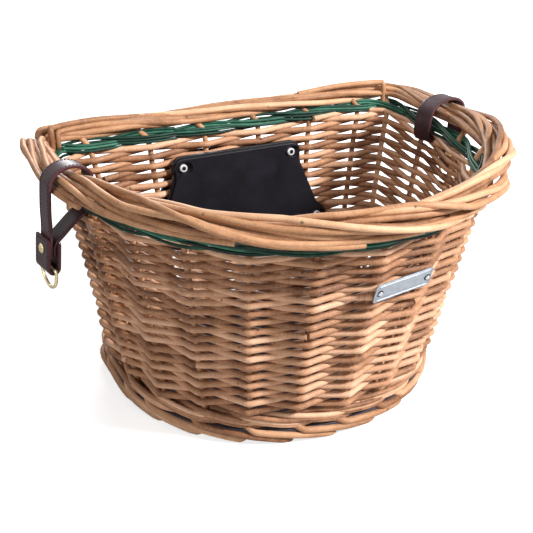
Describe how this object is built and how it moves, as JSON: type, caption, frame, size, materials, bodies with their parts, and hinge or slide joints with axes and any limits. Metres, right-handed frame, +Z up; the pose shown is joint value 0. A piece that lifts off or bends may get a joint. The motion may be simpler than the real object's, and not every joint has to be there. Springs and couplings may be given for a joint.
{
  "type": "bicycle basket",
  "caption": "D-shaped woven willow bicycle basket with a rolled rim, green band, leather loops with rings, and a clamp plate on its flat back.",
  "frame": {"origin": "on the surface that the foot stands on, below the middle of the overall box", "axes": "+X to the right seen from the front, +Y towards the flat back that faces the bicycle, +Z up"},
  "size_m": [0.4668, 0.359, 0.255],
  "materials": {
    "willow": "buff willow rods, smooth peeled skin with a low sheen",
    "willow_stake": "buff willow stakes and rim rods, smooth with a low sheen",
    "green_willow": "willow dyed dark green, satin",
    "board": "dark stained plywood, matt",
    "leather": "plum brown bridle leather, waxed",
    "brass": "antique brass, lightly worn",
    "black_plastic": "black moulded plastic, fine texture",
    "steel": "zinc plated steel",
    "aluminium": "brushed aluminium"
  },
  "bodies": {
    "basket": {"stake_01": "willow_stake", "stake_02": "willow_stake", "stake_03": "willow_stake", "stake_04": "willow_stake", "stake_05": "willow_stake", "stake_06": "willow_stake", "stake_07": "willow_stake", "stake_08": "willow_stake", "stake_09": "willow_stake", "stake_10": "willow_stake", "stake_11": "willow_stake", "stake_12": "willow_stake", "stake_13": "willow_stake", "stake_14": "willow_stake", "stake_15": "willow_stake", "stake_16": "willow_stake", "stake_17": "willow_stake", "stake_18": "willow_stake", "stake_19": "willow_stake", "stake_20": "willow_stake", "stake_21": "willow_stake", "base_board": "board", "foot_wale_1": "willow", "foot_wale_2": "willow", "foot_wale_3": "willow", "green_wale_1": "green_willow", "green_wale_2": "green_willow", "green_wale_3": "green_willow", "weaver_1": "willow", "weaver_2": "willow", "weaver_3": "willow", "weaver_4": "willow", "weaver_5": "willow", "weaver_6": "willow", "clamp_plate": "black_plastic", "outer_bracket": "black_plastic", "clamp_bolt_1": "steel", "clamp_bolt_2": "steel", "clamp_bolt_3": "steel", "clamp_bolt_4": "steel", "name_plate": "aluminium", "name_rivet_1": "steel", "name_rivet_2": "steel"},
    "left_loop": {"left_strap": "leather", "left_tab": "leather", "left_rivet": "brass"},
    "left_ring": {"left_ring": "brass"},
    "right_loop": {"right_strap": "leather", "right_tab": "leather", "right_rivet": "brass"},
    "right_ring": {"right_ring": "brass"}
  },
  "joints": [
    {"name": "left_loop_swing", "type": "hinge", "parent": "basket", "child": "left_loop", "pos_m": [-0.18489, 0.0294, 0.2101], "axis": [0.1756, -0.9845, 0], "range_deg": [-1.5, 4], "stiffness_Nm_per_rad": 0.3},
    {"name": "left_ring_swing", "type": "hinge", "parent": "left_loop", "child": "left_ring", "pos_m": [-0.22529, 0.02219, 0.16739], "axis": [-0.1756, 0.9845, 0], "range_deg": [-100, 110]},
    {"name": "right_loop_swing", "type": "hinge", "parent": "basket", "child": "right_loop", "pos_m": [0.18739, 0.06326, 0.2093], "axis": [-0.2737, 0.9618, 0], "range_deg": [-1.5, 4], "stiffness_Nm_per_rad": 0.3},
    {"name": "right_ring_swing", "type": "hinge", "parent": "right_loop", "child": "right_ring", "pos_m": [0.22403, 0.07369, 0.16724], "axis": [0.2737, -0.9618, 0], "range_deg": [-100, 110]}
  ]
}
